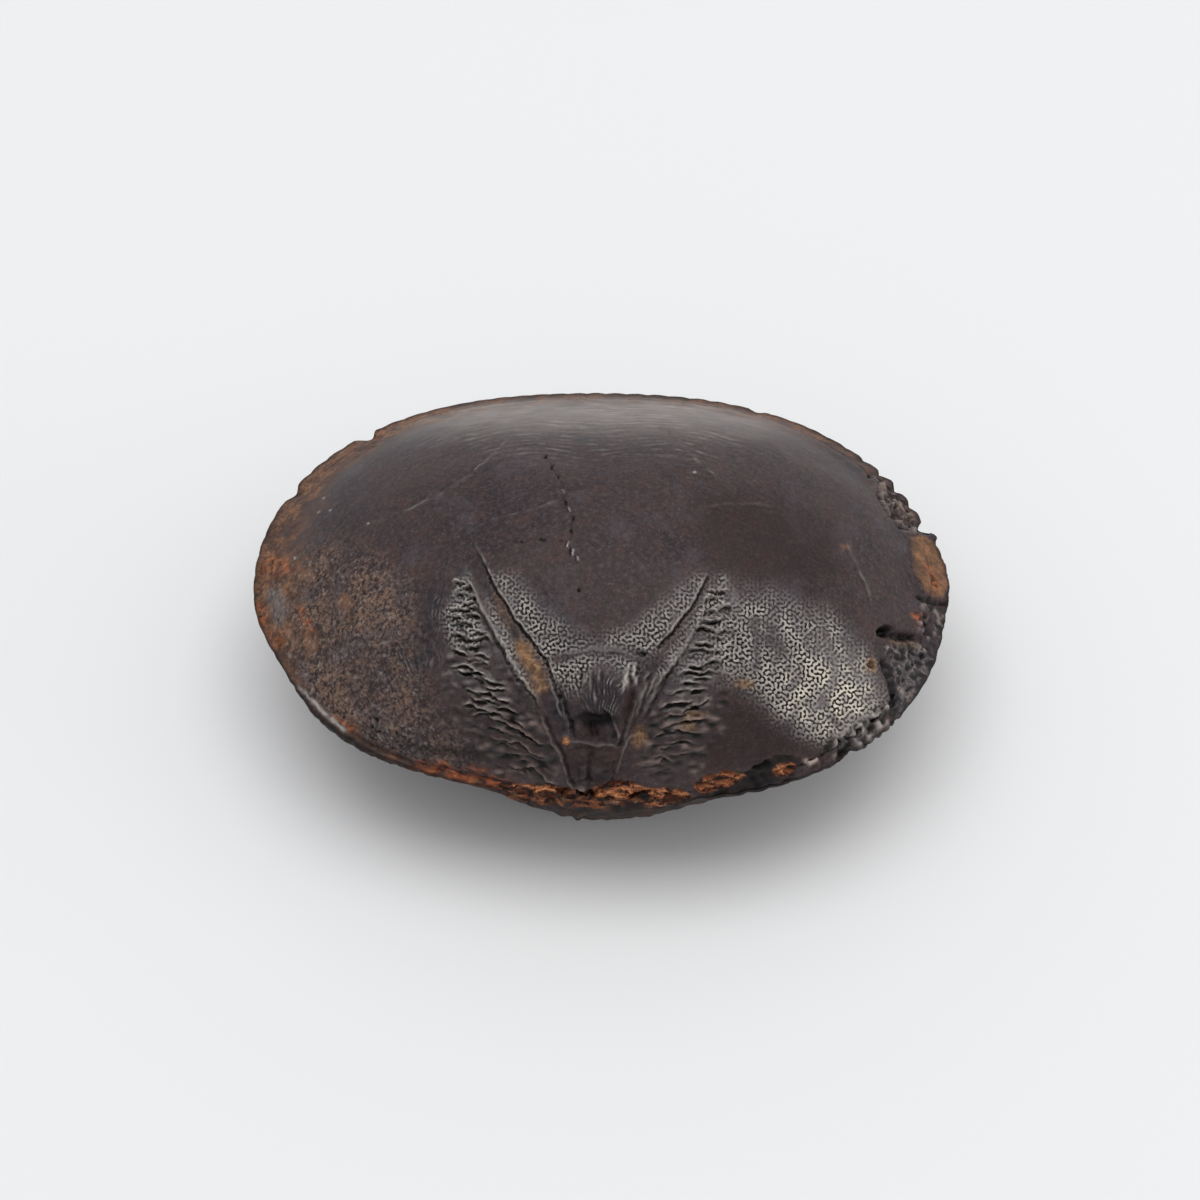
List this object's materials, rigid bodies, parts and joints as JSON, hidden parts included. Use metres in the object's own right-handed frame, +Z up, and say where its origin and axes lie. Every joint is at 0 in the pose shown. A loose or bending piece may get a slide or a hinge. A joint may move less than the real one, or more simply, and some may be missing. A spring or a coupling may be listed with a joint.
{
  "type": "brachiopod fossil",
  "caption": "Oval, two-sided stone mould of a brachiopod's inside: smooth dome with V-shaped muscle scars, broken hinge, crimped rim and a shallow rounded underside.",
  "frame": {"origin": "on the surface it rests on, under the middle of its box", "axes": "+X along the hinge, -Y towards the beak, +Y towards the shell's front edge, +Z up"},
  "size_m": [0.0382, 0.0302, 0.0166],
  "materials": {
    "iron_stained_stone": "dark purplish brown stone with a satin surface, rust-orange along the rim and the broken hinge"
  },
  "bodies": {
    "root": {"brachiopod_fossil": "iron_stained_stone"}
  },
  "joints": []
}
